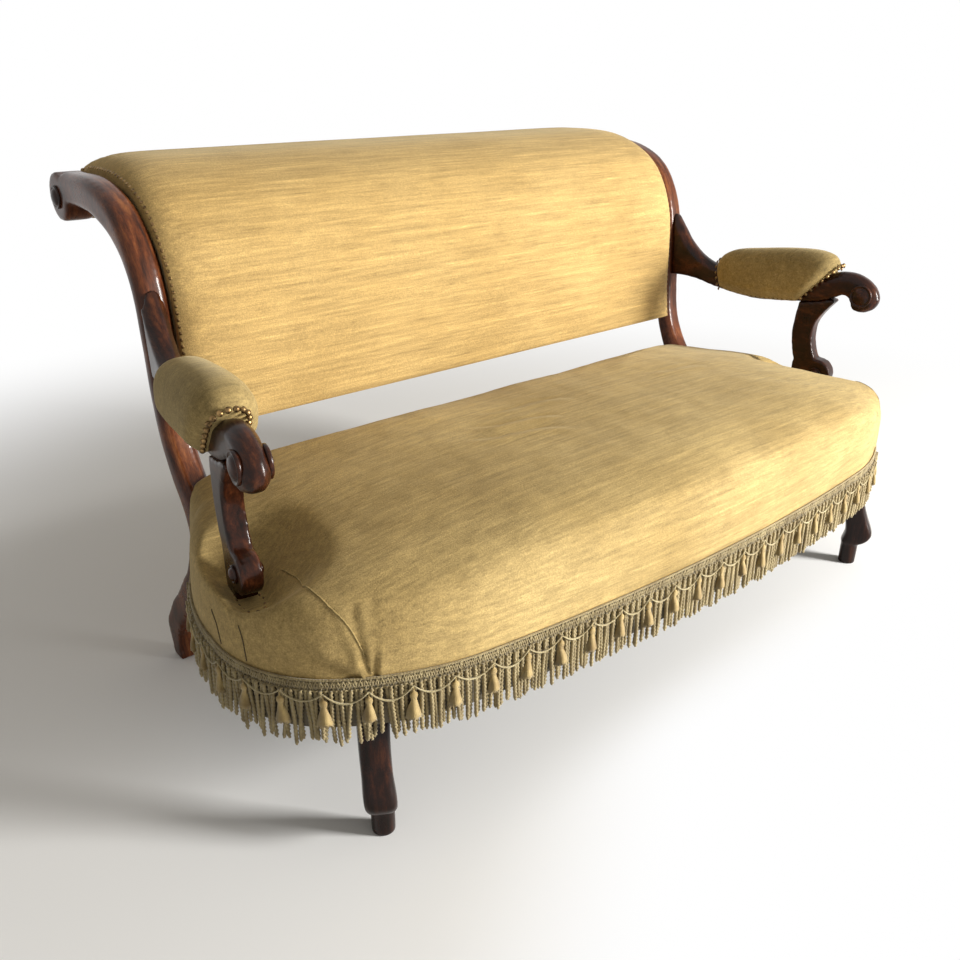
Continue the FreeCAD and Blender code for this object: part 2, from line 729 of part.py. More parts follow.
if __name__ == "__main__":
    os.makedirs("parts", exist_ok=True)
    around_post = post(touch_gap)
    make_posts()
    make_arms(around_post)
    make_supports()
    leg = make_front_legs()
    make_seat_frame(around_post)
    make_seat_webbing(around_post, leg)
    make_seat_springs()
    make_seat_cushion()
    make_back(around_post)
    make_fringe()
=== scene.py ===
import math
import random

import bpy
import bmesh
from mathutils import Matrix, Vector, noise
from mathutils.bvhtree import BVHTree


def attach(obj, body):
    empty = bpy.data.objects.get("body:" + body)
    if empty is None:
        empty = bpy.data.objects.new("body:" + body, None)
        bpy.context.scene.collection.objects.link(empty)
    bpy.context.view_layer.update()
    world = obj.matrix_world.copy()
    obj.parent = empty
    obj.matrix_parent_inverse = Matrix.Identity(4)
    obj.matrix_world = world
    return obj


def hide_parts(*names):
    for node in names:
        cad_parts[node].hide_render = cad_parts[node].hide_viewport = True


# Looks of the show-wood sofa: velvet covers, twisted fringe with tassels, brass nails, polished wood.
# Shapes are worked out in millimetres, with depths measured from the same line as in the part's
# source; to_frame() turns them into the frame's metres.

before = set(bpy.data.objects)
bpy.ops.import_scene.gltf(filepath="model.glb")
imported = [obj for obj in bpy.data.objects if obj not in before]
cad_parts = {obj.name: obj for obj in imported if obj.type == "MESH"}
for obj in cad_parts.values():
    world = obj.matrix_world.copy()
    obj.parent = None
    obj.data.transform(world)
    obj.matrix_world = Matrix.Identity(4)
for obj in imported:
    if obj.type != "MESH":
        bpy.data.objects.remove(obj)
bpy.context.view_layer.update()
dice = random.Random(7)

# Sizes that the covers share with the wood they are nailed to, in millimetres
ORIGIN_Y = 159.88       # depth of the frame's origin behind the source's own zero line
BACK_HALF = 634.0
POST_THICK = 53.0
BACK_SCROLL = (640.0, 832.0)
ROLL_RADIUS = 27.0
ARM_BACK = (664.0, 338.0)
ARM_SPLAY = math.radians(9.9)
ARM_THICK = 40.0
ARM_BOSS = (-155.0, 586.0, 24.0, 0.0, 40.0)      # along, height, radius, shift, wood's thickness
SUPPORT_BOSS = (-80.0, 394.0, 14.0, 4.0, 34.0)
BOSS_RISE = 9.0
FRONT_FOOT = (659.0, -270.0)
LEG_TURN = math.radians(30.0)
SEAT_HALF = 793.0
SEAT_FRONT = -361.0
SEAT_REAR = 262.0
SEAT_WIDEST = -50.0
BRAID_TOP = 291.0
BRAID_LOW = 270.0
CORD_DROP = 84.0        # twisted cords of the fringe below the braid
TASSEL_PITCH = 62.0

POST_LINE = [
    (236, 300, 57), (255, 352, 48), (293, 410, 40), (318, 470, 36), (329, 545, 35),
    (332, 630, 34), (338, 708, 34), (358, 762, 38), (391, 803, 48), (434, 829, 54),
    (500, 847, 54), (615, 850, 52),
]
BACK_START = 3

# Seat outline: shares of the half width, and of the depth ahead of the widest place or behind it
SEAT_OUTLINE = [
    (0, -1.0), (0.378, -0.977), (0.643, -0.904), (0.807, -0.778), (0.914, -0.605), (0.980, -0.370),
    (1.0, 0), (0.974, 0.359), (0.902, 0.737),
]
SEAT_CORNER = 0.865

# Seat cover: height, then how far the outline is drawn in at the ends, front and rear
SEAT_LEVELS = [
    (229, 26, 26, 26), (227, 8, 8, 4), (240, 4, 3, 0.5), (291, 0, 0, 0.5), (345, 5, -5, 0.5),
    (374, 11, -4, 1), (388, 19, -1, 3), (402, 36, 4, 8), (422, 108, 15, 22), (438, 205, 42, 45),
    (452, 315, 90, 80), (460, 430, 150, 116), (464, 560, 220, 190), (466, 720, 290, 270),
]

# Arm pad: distance along the arm, underside, top, share of the side padding, lean of the section
ARM_PAD = [
    (-92, 557, 638, 0.2, 77), (-91, 557, 645, 0.5, 76), (-86, 557, 653, 0.76, 74),
    (-74, 556, 663, 0.95, 67), (-40, 555, 670, 1.0, 48), (20, 553, 668, 1.0, 16),
    (90, 551, 660, 1.0, 0), (150, 555, 651, 0.94, -7), (178, 559, 639, 0.68, -12),
    (190, 562, 626, 0.34, -15), (194, 564, 619, 0.0, -16),
]
PAD_SECTION = [(0.97, 0.24), (1.0, 0.45), (0.93, 0.68), (0.72, 0.87), (0.38, 0.975)]
PAD_EDGE = 6.5
PAD_SIDE = 32.0

# Back pad: how far its front stands ahead of the post's middle line, from the bottom to the roll
BACK_SWELL = [33, 41, 44, 44, 46, 50, 52, 54, 53]
BACK_ROLL = [(110, 45), (84, 38), (58, 31), (18, 27), (-32, 22), (-80, 18)]
BACK_EDGE_RISE = 3.0


def to_frame(p):
    return Vector((p[0], p[1] - ORIGIN_Y, p[2])) * 0.001


def curve_through(points, count):
    """Evenly spaced points on a smooth line through the given ones, of any number of values each."""
    last = len(points) - 1
    steps = [0.0]
    for a, b in zip(points, points[1:]):
        steps.append(steps[-1] + max(math.dist(a, b), 1e-6) ** 0.5)
    fine = []
    for i in range(last):
        p0, p1, p2, p3 = points[max(i - 1, 0)], points[i], points[i + 1], points[min(i + 2, last)]
        t1, t2 = steps[i], steps[i + 1]
        t0 = steps[i - 1] if i > 0 else t1 - (t2 - t1)
        t3 = steps[i + 2] if i + 2 <= last else t2 + (t2 - t1)
        for k in range(24):
            u = k / 24.0
            values = []
            for a, b, c, d in zip(p0, p1, p2, p3):
                m1 = (c - a) / (t2 - t0) * (t2 - t1)
                m2 = (d - b) / (t3 - t1) * (t2 - t1)
                h = u * u * (3 - 2 * u)
                values.append(b * (1 - h) + c * h + m1 * u * (1 - u) ** 2 - m2 * u * u * (1 - u))
            fine.append(tuple(values))
    fine.append(tuple(points[-1]))
    reach = [0.0]
    for a, b in zip(fine, fine[1:]):
        reach.append(reach[-1] + math.dist(a, b))
    spaced = []
    k = 0
    for i in range(count):
        goal = reach[-1] * i / (count - 1)
        while k < len(fine) - 2 and reach[k + 1] < goal:
            k += 1
        u = (goal - reach[k]) / max(reach[k + 1] - reach[k], 1e-9)
        spaced.append(tuple(a + (b - a) * min(u, 1.0) for a, b in zip(fine[k], fine[k + 1])))
    return spaced


def new_piece(name, verts, faces, material):
    """A mesh piece from points in millimetres, ready to ride with the sofa."""
    mesh = bpy.data.meshes.new(name)
    mesh.from_pydata([to_frame(v) for v in verts], [], faces)
    mesh.validate()
    mesh.polygons.foreach_set("use_smooth", [True] * len(mesh.polygons))
    piece = bpy.data.objects.new(name, mesh)
    bpy.context.scene.collection.objects.link(piece)
    mesh.materials.append(material)
    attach(piece, "root")
    return piece


def skin(rows, first=0):
    """Quads between closed rows of points, with both end rows filled; first is the first point's number."""
    faces = []
    wide = len(rows[0])
    for r in range(len(rows) - 1):
        for i in range(wide):
            j = (i + 1) % wide
            a, b = first + r * wide, first + (r + 1) * wide
            faces.append((a + i, a + j, b + j, b + i))
    faces.append(tuple(first + i for i in reversed(range(wide))))
    faces.append(tuple(first + (len(rows) - 1) * wide + i for i in range(wide)))
    return faces


def skinned(name, rows, material):
    return new_piece(name, [p for row in rows for p in row], skin(rows), material)


def tube_rows(path, radius, sides):
    """Rings round a path of Vectors; radius may be a number or a function of the share along it."""
    rows = []
    up = Vector((0, 0, 1))
    last = len(path) - 1
    for i, p in enumerate(path):
        along = (path[min(i + 1, last)] - path[max(i - 1, 0)]).normalized()
        side = along.cross(up)
        side = side.normalized() if side.length > 1e-4 else Vector((1, 0, 0))
        over = side.cross(along)
        r = radius(i / last) if callable(radius) else radius
        ring = []
        for k in range(sides):
            a = 2 * math.pi * k / sides
            ring.append(p + side * (r * math.cos(a)) + over * (r * math.sin(a)))
        rows.append(ring)
    return rows


class Heap:
    """Gathers many small bodies into one piece."""

    def __init__(self):
        self.verts = []
        self.faces = []

    def add(self, rows):
        self.faces += skin(rows, len(self.verts))
        self.verts += [p for row in rows for p in row]

    def piece(self, name, material):
        return new_piece(name, self.verts, self.faces, material)


# Materials

def node_material(name):
    material = bpy.data.materials.new(name)
    material.use_nodes = True
    tree = material.node_tree
    return material, tree, tree.nodes["Principled BSDF"]


def link_noise(tree, scale, stretch=(1, 1, 1), detail=4.0, rough=0.55):
    """A noise texture in the frame's own coordinates, stretched by the given factors."""
    place = tree.nodes.new("ShaderNodeTexCoord")
    turn = tree.nodes.new("ShaderNodeMapping")
    turn.inputs["Scale"].default_value = stretch
    grain = tree.nodes.new("ShaderNodeTexNoise")
    grain.inputs["Scale"].default_value = scale
    grain.inputs["Detail"].default_value = detail
    grain.inputs["Roughness"].default_value = rough
    tree.links.new(place.outputs["Object"], turn.inputs["Vector"])
    tree.links.new(turn.outputs["Vector"], grain.inputs["Vector"])
    return grain.outputs["Fac"]


def ramp(tree, source, stops):
    """Colours or greys along a value: stops are (position, colour)."""
    node = tree.nodes.new("ShaderNodeValToRGB")
    line = node.color_ramp
    while len(line.elements) < len(stops):
        line.elements.new(0.5)
    for element, (position, colour) in zip(line.elements, stops):
        element.position = position
        element.color = (*colour, 1)
    tree.links.new(source, node.inputs["Fac"])
    return node.outputs["Color"]


def mix(tree, a, b, factor, blend="MIX"):
    node = tree.nodes.new("ShaderNodeMix")
    node.data_type = "RGBA"
    node.blend_type = blend
    for value, socket in ((factor, node.inputs["Factor"]), (a, node.inputs["A"]), (b, node.inputs["B"])):
        if isinstance(value, bpy.types.NodeSocket):
            tree.links.new(value, socket)
        elif isinstance(value, tuple):
            socket.default_value = (*value, 1)
        else:
            socket.default_value = value
    return node.outputs["Result"]


def math_node(tree, operation, a, b):
    node = tree.nodes.new("ShaderNodeMath")
    node.operation = operation
    for value, socket in ((a, node.inputs[0]), (b, node.inputs[1])):
        if isinstance(value, bpy.types.NodeSocket):
            tree.links.new(value, socket)
        else:
            socket.default_value = value
    return node.outputs["Value"]


def bump(tree, shader, height, strength, distance):
    node = tree.nodes.new("ShaderNodeBump")
    node.inputs["Strength"].default_value = strength
    node.inputs["Distance"].default_value = distance
    tree.links.new(height, node.inputs["Height"])
    tree.links.new(node.outputs["Normal"], shader.inputs["Normal"])


def grey(value):
    return (value, value, value)


SLUB_STRETCH = (1.2, 27, 27)    # the slubs run along the sofa's length


def velvet(name, pale, deep, shade):
    """Short cut velvet: nap that lies in soft patches, fine slubs along the sofa and a pile's sheen."""
    material, tree, shader = node_material(name)
    nap = link_noise(tree, 3.1, detail=3.0)
    slub = link_noise(tree, 9.0, SLUB_STRETCH, detail=6.0, rough=0.75)
    fine = link_noise(tree, 420.0, detail=3.0)
    worn = link_noise(tree, 13.0, detail=7.0, rough=0.75)
    colour = mix(tree, deep, pale, ramp(tree, nap, [(0.32, grey(0)), (0.72, grey(1))]))
    colour = mix(tree, colour, shade, ramp(tree, worn, [(0.5, grey(0)), (0.82, grey(0.55))]))
    streak = ramp(tree, slub, [(0.28, grey(0.66)), (0.47, grey(0.96)), (0.6, grey(1.05)), (0.74, grey(1.5))])
    colour = mix(tree, colour, streak, 1.0, "MULTIPLY")
    broad = link_noise(tree, 4.0, SLUB_STRETCH, detail=4.0, rough=0.7)
    band = ramp(tree, broad, [(0.3, grey(0.80)), (0.5, grey(1.0)), (0.7, grey(1.22))])
    colour = mix(tree, colour, band, 1.0, "MULTIPLY")
    pile = ramp(tree, fine, [(0.25, grey(0.74)), (0.75, grey(1.22))])
    colour = mix(tree, colour, pile, 1.0, "MULTIPLY")
    tree.links.new(colour, shader.inputs["Base Color"])
    shader.inputs["Roughness"].default_value = 0.85
    shader.inputs["Specular IOR Level"].default_value = 0.25
    shader.inputs["Sheen Weight"].default_value = 0.40
    shader.inputs["Sheen Roughness"].default_value = 0.4
    shader.inputs["Sheen Tint"].default_value = (0.62, 0.54, 0.36, 1)
    height = math_node(tree, "ADD", math_node(tree, "MULTIPLY", slub, 0.5),
                       math_node(tree, "MULTIPLY", fine, 0.5))
    bump(tree, shader, height, 0.55, 0.0016)
    return material


def polished_wood(name, stretch, dark, mid, light):
    """French-polished wood with a long figure, fine pores and a hard gloss."""
    material, tree, shader = node_material(name)
    figure = link_noise(tree, 7.0, stretch, detail=6.0, rough=0.62)
    pores = link_noise(tree, 60.0, stretch, detail=3.0)
    worn = link_noise(tree, 9.0, detail=5.0)
    colour = ramp(tree, figure, [(0.3, dark), (0.52, mid), (0.72, light)])
    colour = mix(tree, colour, ramp(tree, pores, [(0.42, grey(0.45)), (0.56, grey(1))]), 0.55, "MULTIPLY")
    colour = mix(tree, colour, dark, ramp(tree, worn, [(0.45, grey(0)), (0.75, grey(0.6))]))
    tree.links.new(colour, shader.inputs["Base Color"])
    rough = ramp(tree, worn, [(0.3, grey(0.22)), (0.75, grey(0.42))])
    tree.links.new(rough, shader.inputs["Roughness"])
    shader.inputs["Specular IOR Level"].default_value = 0.14
    shader.inputs["Coat Weight"].default_value = 0.16
    shader.inputs["Coat Roughness"].default_value = 0.08
    bump(tree, shader, pores, 0.12, 0.0006)
    return material


def cord_material(name, pale, deep, twist=900.0):
    """Twisted cotton: fine plies across the cord, with painted shade in the grooves between them, and colour
    that varies from cord to cord.
    """
    material, tree, shader = node_material(name)
    tone = link_noise(tree, 45.0, detail=3.0)
    ply = tree.nodes.new("ShaderNodeTexWave")
    ply.bands_direction = "DIAGONAL"
    ply.inputs["Scale"].default_value = twist
    place = tree.nodes.new("ShaderNodeTexCoord")
    tree.links.new(place.outputs["Object"], ply.inputs["Vector"])
    colour = mix(tree, deep, pale, ramp(tree, tone, [(0.3, grey(0)), (0.7, grey(1))]))
    # Painted shade: the grooves between the plies are darkened in the colour
    ply_groove_shade = ramp(tree, ply.outputs["Fac"], [(0.1, grey(0.6)), (0.6, grey(1.1))])
    colour = mix(tree, colour, ply_groove_shade, 0.7, "MULTIPLY")
    tree.links.new(colour, shader.inputs["Base Color"])
    shader.inputs["Roughness"].default_value = 0.62
    shader.inputs["Sheen Weight"].default_value = 0.25
    bump(tree, shader, ply.outputs["Fac"], 0.5, 0.0005)
    return material


def aged_brass(name):
    material, tree, shader = node_material(name)
    dirt = link_noise(tree, 160.0, detail=5.0, rough=0.7)
    tree.links.new(ramp(tree, dirt, [(0.35, (0.035, 0.022, 0.012)), (0.66, (0.34, 0.21, 0.085))]),
                   shader.inputs["Base Color"])
    tree.links.new(ramp(tree, dirt, [(0.3, grey(0.55)), (0.7, grey(0.28))]), shader.inputs["Roughness"])
    shader.inputs["Metallic"].default_value = 1.0
    return material


def plain_fibre(name, pale, deep, scale, rough=0.85):
    material, tree, shader = node_material(name)
    weave = link_noise(tree, scale, detail=5.0, rough=0.7)
    tree.links.new(ramp(tree, weave, [(0.3, deep), (0.7, pale)]), shader.inputs["Base Color"])
    shader.inputs["Roughness"].default_value = rough
    bump(tree, shader, weave, 0.4, 0.0008)
    return material


seat_velvet = velvet("seat_velvet", (0.50, 0.362, 0.150), (0.33, 0.226, 0.080), (0.18, 0.120, 0.040))
back_velvet = velvet("back_velvet", (0.54, 0.37, 0.145), (0.44, 0.29, 0.103), (0.31, 0.20, 0.068))
pad_velvet = velvet("pad_velvet", (0.42, 0.31, 0.130), (0.27, 0.19, 0.070), (0.11, 0.08, 0.028))
# One wood in three palettes: the posts' palette is painted lighter (painted light) and the front legs'
# palette darker (painted shade) than the arms' and bosses' own tone
wood_red = ((0.008, 0.003, 0.0015), (0.038, 0.010, 0.004), (0.115, 0.034, 0.011))
wood_shaded = ((0.006, 0.0025, 0.0012), (0.020, 0.006, 0.003), (0.06, 0.018, 0.007))
wood_lit = ((0.022, 0.007, 0.003), (0.13, 0.036, 0.012), (0.30, 0.105, 0.032))
post_wood = polished_wood("post_wood", (14, 3, 1.6), *wood_lit)
leg_wood = polished_wood("leg_wood", (14, 14, 1.6), *wood_shaded)
arm_wood = polished_wood("arm_wood", (14, 1.6, 6), *wood_red)
boss_wood = polished_wood("boss_wood", (8, 8, 8), *wood_red)
frame_wood = plain_fibre("frame_wood", (0.58, 0.43, 0.27), (0.42, 0.29, 0.17), 40.0, 0.7)
jute = plain_fibre("jute", (0.50, 0.39, 0.24), (0.30, 0.22, 0.13), 260.0)
dust_cloth = plain_fibre("dust_cloth", (0.06, 0.055, 0.05), (0.03, 0.028, 0.025), 500.0)
spring_wire = aged_brass("spring_wire")
brass = aged_brass("aged_brass")
fringe_cord = cord_material("fringe_cord", (0.42, 0.33, 0.155), (0.24, 0.175, 0.070))
fringe_shade = cord_material("fringe_shade", (0.16, 0.12, 0.05), (0.08, 0.058, 0.024))
swag_cord = cord_material("swag_cord", (0.50, 0.42, 0.22), (0.36, 0.28, 0.13))
tassel_silk = cord_material("tassel_silk", (0.52, 0.38, 0.145), (0.30, 0.195, 0.060), 500.0)
# Near-black material for the plain seams: painted shade in place of the shade in their grooves
seam_painted_shade = plain_fibre("seam_painted_shade", (0.10, 0.07, 0.025), (0.05, 0.035, 0.015), 400.0)


# Wood and hidden pieces keep their solids and get their finish

def dress(node, material, rounded=0.0):
    """Gives a CAD node its material and smooth shading; rounded is the grain size of worn-round wood."""
    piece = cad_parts[node]
    piece.data.materials.clear()
    piece.data.materials.append(material)
    piece.data.polygons.foreach_set("use_smooth", [True] * len(piece.data.polygons))
    weld = piece.modifiers.new("weld", "WELD")
    weld.merge_threshold = 0.00002
    if rounded:
        grain = piece.modifiers.new("grain", "REMESH")
        grain.mode = "VOXEL"
        grain.voxel_size = rounded
        grain.use_smooth_shade = True
        worn = piece.modifiers.new("worn", "SMOOTH")
        worn.factor = 0.5
        worn.iterations = 9
        return
    split = piece.modifiers.new("split", "EDGE_SPLIT")
    split.split_angle = math.radians(34)


for side in ("left", "right"):
    dress("back_post_" + side, post_wood, 0.0042)
    dress("arm_" + side, arm_wood, 0.0034)
    dress("arm_support_" + side, arm_wood, 0.0032)
    dress("side_seat_rail_" + side, frame_wood)
for node in ("front_seat_rail", "back_seat_rail", "corner_blocks", "back_roll_rail", "back_bend_rail",
             "back_bottom_rail"):
    dress(node, frame_wood)
for node in ("seat_webbing", "back_webbing"):
    dress(node, jute)
dress("seat_springs", spring_wire)


# Seat

def arc_points(a, b, c, count):
    """Points on the arc from a through b to c; the last is left out."""
    ax, ay, bx, by, cx, cy = *a, *b, *c
    d = 2 * (ax * (by - cy) + bx * (cy - ay) + cx * (ay - by))
    aa, bb, cc = ax * ax + ay * ay, bx * bx + by * by, cx * cx + cy * cy
    ux = (aa * (by - cy) + bb * (cy - ay) + cc * (ay - by)) / d
    uy = (aa * (cx - bx) + bb * (ax - cx) + cc * (bx - ax)) / d
    radius = math.hypot(ax - ux, ay - uy)
    start = math.atan2(ay - uy, ax - ux)
    sweep = (math.atan2(cy - uy, cx - ux) - start + math.pi) % (2 * math.pi) - math.pi
    turns = [start + sweep * k / count for k in range(count)]
    return [(ux + radius * math.cos(turn), uy + radius * math.sin(turn)) for turn in turns]


def seat_outline(side, front, back, fine=1):
    """The seat's outline from the right rear corner round the front to the left rear corner."""
    reach_x = SEAT_HALF - side
    reach_front = SEAT_WIDEST - SEAT_FRONT - front
    reach_back = SEAT_REAR - back - SEAT_WIDEST
    p = [(x * reach_x, SEAT_WIDEST + y * (reach_front if y < 0 else reach_back)) for x, y in SEAT_OUTLINE]
    corner = (SEAT_CORNER * reach_x, SEAT_REAR - back)
    steps = 6 * fine
    half = [(corner[0] + (p[8][0] - corner[0]) * k / steps, corner[1] + (p[8][1] - corner[1]) * k / steps)
            for k in range(steps)]
    half += arc_points(p[8], p[7], p[6], 16 * fine)
    half += arc_points(p[6], p[5], p[4], 16 * fine)
    half += arc_points(p[4], p[3], p[2], 16 * fine)
    half += arc_points(p[2], p[0], (-p[2][0], p[2][1]), 80 * fine)[:40 * fine]
    return half + [p[0]] + [(-x, y) for x, y in reversed(half)]


def seat_rows():
    rows = []
    for z, side, front, back in curve_through(SEAT_LEVELS, 110):
        ring = [Vector((x, y, z)) for x, y in seat_outline(side, front, back, 3)]
        a, b = ring[-1], ring[0]
        ring += [a + (b - a) * k / 80.0 for k in range(1, 80)]
        rows.append(ring)
    return rows


def smooth_step(low, high, value):
    u = min(max((value - low) / (high - low), 0.0), 1.0)
    return u * u * (3 - 2 * u)


# Folds at the front corners, gathered at the braid: ends on the right half, height and width
FOLDS = [
    ((728, -215, 384), (684, -266, 304), 5.5, 6.0), ((720, -228, 368), (680, -269, 298), -6.0, 5.0),
    ((742, -222, 352), (676, -272, 292), 5.5, 5.5), ((746, -214, 334), (682, -270, 290), -4.5, 6.0),
    ((697, -243, 402), (676, -271, 298), 6.0, 6.5), ((682, -257, 400), (671, -275, 296), -8.5, 4.5),
    ((667, -260, 408), (668, -278, 292), 6.5, 5.5), ((655, -268, 400), (663, -279, 294), -8.5, 4.5),
    ((640, -276, 392), (657, -281, 294), 4.5, 7.0),
]


FOLD_ROOM = (600, -180, 284, 430)   # folds lie further out, further forward, and between these heights


def pleat_push(p):
    """Outward movement of the cover in the folds that fan out from the gathers at a corner."""
    q = Vector((abs(p.x), p.y, p.z))
    least_x, most_y, low, high = FOLD_ROOM
    if q.x < least_x or q.y > most_y or not low < q.z < high:
        return 0.0
    push = 0.0
    for start, end, rise, wide in FOLDS:
        a, b = Vector(start), Vector(end)
        t = (q - a).dot(b - a) / (b - a).length_squared
        if t < -0.15 or t > 1.1:
            continue
        off = (q - a - (b - a) * t).length
        grow = smooth_step(-0.15, 0.55, t) * smooth_step(1.1, 1.0, t)
        push += rise * grow * math.exp(-(off / wide) ** 2)
    return push


def arm_plane(p):
    """How far a point lies across the nearer arm's middle plane, and along it."""
    dx, dy = abs(p.x) - ARM_BACK[0], p.y - ARM_BACK[1]
    return (dx * math.cos(ARM_SPLAY) + dy * math.sin(ARM_SPLAY),
            -dx * math.sin(ARM_SPLAY) + dy * math.cos(ARM_SPLAY) + ARM_BACK[1])


SUPPORT_FOOT = (-112.0, -24.0, 17.0)    # the foot's front and rear along the arm, and half its width
TACKED_Z = 347.0                        # height of the cover where it meets the foot
DIP_SLOPE = 0.85
DIP_ROUNDING = 9.0
DIP_FADE = (312, 330)                   # the dip comes in between these heights


def dip(p):
    """Lowers the cover where it is drawn down and tacked round the foot of an arm support."""
    if p.z < DIP_FADE[0]:
        return p.z
    across, along = arm_plane(p)
    front, rear, half = SUPPORT_FOOT
    gap = math.hypot(across - SUPPORT_BOSS[3], along - min(max(along, front), rear)) - half
    over = p.z - (TACKED_Z + DIP_SLOPE * max(gap, 0.0))
    ease = smooth_step(*DIP_FADE, p.z)
    return p.z - ease * (over + math.hypot(over, DIP_ROUNDING)) / 2.0


# Creases of the crown: plan points of both ends, and depth
CREASES = [((-260, 20), (-60, -60), 2.6), ((-300, -20), (-90, -110), 2.2), ((-200, 60), (20, 10), 2.0),
           ((230, 40), (420, -20), 1.4)]


def crease_push(p):
    """Shallow creases in the crown, each along a line from one plan point to another."""
    push = 0.0
    if p.z < 415:
        return push
    for (ax, ay), (bx, by), deep in CREASES:
        run = math.hypot(bx - ax, by - ay)
        ux, uy = (bx - ax) / run, (by - ay) / run
        t = (p.x - ax) * ux + (p.y - ay) * uy
        off = (p.y - ay) * ux - (p.x - ax) * uy + 8 * math.sin(t * 0.03)
        ends = smooth_step(0, 60, t) * smooth_step(run, run - 60, t) if run > t > 0 else 0.0
        push += deep * ends * (math.exp(-(off / 13.0) ** 2) - 0.8 * math.exp(-((off - 18) / 9.0) ** 2))
    return push


def make_seat():
    rows = seat_rows()
    for row in rows:
        for i, p in enumerate(row):
            lump = noise.noise(p * 0.006) * 2.4 + noise.noise(p * 0.017) * 1.0 + noise.noise(p * 0.045) * 0.35
            rise = smooth_step(296, 400, p.z)
            out = Vector((p.x, (p.y + 40) * 1.6, 0)).normalized()
            side = smooth_step(430, 396, p.z) if p.z > 396 else 1.0
            p = Vector((p.x, p.y, dip(p)))
            row[i] = p + Vector((0, 0, lump * rise + crease_push(p))) + out * (pleat_push(p) * side)
    cover = skinned("seat_cover", rows, seat_velvet)
    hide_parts("seat_cushion")
    verts = [p for row in rows for p in row]
    return BVHTree.FromPolygons(verts, skin(rows))


seat_surface = make_seat()


# Seams, each a list of points that are laid onto the cover

PIPED_SEAM = [(-712, -70, 410), (-708, -116, 412), (-708, -166, 410), (-703, -222, 398), (-690, -255, 376),
              (-677, -270, 334), (-668, -276, 296)]
PLAIN_SEAMS = [[(-772, -50, 336), (-791, -69, 323), (-795, -82, 298)],
               [(-768, -118, 352), (-785, -135, 328), (-786, -141, 296)]]


def laid(points, count, lift):
    """A smooth line through the points, drawn onto the seat cover and raised off it."""
    line = []
    for p in curve_through(points, count):
        spot, normal = seat_surface.find_nearest(Vector(p))[:2]
        line.append(spot + normal * lift)
    return line


def make_seams():
    piping = Heap()
    for sign in (-1, 1):
        seam = [(-sign * x, y, z) for x, y, z in PIPED_SEAM]
        piping.add(tube_rows(laid(seam, 90, 0.0), 1.3, 8))
    edge = [(x, y + 2.0, 228.5) for x, y in seat_outline(0, 0, 0)[4:-4]]
    piping.add(tube_rows([Vector(p) for p in edge], 2.4, 6))
    piped = piping.piece("seat_piping", pad_velvet)
    # The plain seams are dark tubes sunk into the cover: painted shade where the seam grooves would be shaded
    seam_shade_heap = Heap()
    for sign in (-1, 1):
        for seam in PLAIN_SEAMS:
            line = laid([(-sign * x, y, z) for x, y, z in seam], 30, -0.2)
            seam_shade_heap.add(tube_rows(line, 1.1, 6))
    seam_shade_piece = seam_shade_heap.piece("seat_seam_shade", seam_painted_shade)


make_seams()


# Fringe: looped braid, twisted cords, cords in swags and tassels

def hem_line(out, z, count):
    """Evenly spaced (point, along, outward) round the seat's front and sides, from right to left."""
    ring = seat_outline(-out, -out, -out)[6:-6]
    points = curve_through(ring, count)
    line = []
    for i, p in enumerate(points):
        a, b = points[max(i - 1, 0)], points[min(i + 1, count - 1)]
        along = Vector((b[0] - a[0], b[1] - a[1], 0)).normalized()
        line.append((Vector((p[0], p[1], z)), along, Vector((-along.y, along.x, 0))))
    return line


ring = seat_outline(-3.6, -3.6, -3.6)[6:-6]
HEM_LENGTH = sum(math.dist(a, b) for a, b in zip(ring, ring[1:]))
TASSEL_COUNT = int(HEM_LENGTH / TASSEL_PITCH)


BRAID_STEP = 1.6        # between the points along the braid
LOOP_PITCH = 7.6        # from one of its loops to the next


def make_braid():
    """A woven band with a cord along both edges and two rows of loops crossing over it."""
    braid = Heap()
    count = int(HEM_LENGTH / BRAID_STEP)
    line = hem_line(0.4, 0, count)
    middle = (BRAID_TOP + BRAID_LOW) / 2.0
    band = []
    for spot, along, out in line[::4]:
        band.append([spot + out * d + Vector((0, 0, z)) for d, z in
                     ((0, BRAID_LOW), (1.4, BRAID_LOW), (1.4, BRAID_TOP - 1), (0, BRAID_TOP - 1))])
    braid.add(band)
    for z in (BRAID_LOW + 1.6, BRAID_TOP - 2.0):
        edge = [spot + out * 2.2 + Vector((0, 0, z)) for spot, along, out in line]
        rows = tube_rows(edge, lambda u: 1.9 + 0.45 * math.sin(u * HEM_LENGTH * 1.35), 6)
        braid.add(rows)
    for phase in (0.0, math.pi):
        loop = []
        for i, (spot, along, out) in enumerate(line):
            a = i * BRAID_STEP * 2 * math.pi / LOOP_PITCH + phase
            wander = 0.5 * noise.noise(spot * 0.05)
            loop.append(spot + along * (1.2 * math.sin(2 * a)) + out * (2.4 + 0.8 * math.sin(a + phase))
                        + Vector((0, 0, middle + wander + (9.4 if phase == 0 else 7.4) * math.sin(a))))
        braid.add(tube_rows(loop, 1.25, 5))
    piece = braid.piece("braid_trim", fringe_cord)
    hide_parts("braid_heading")


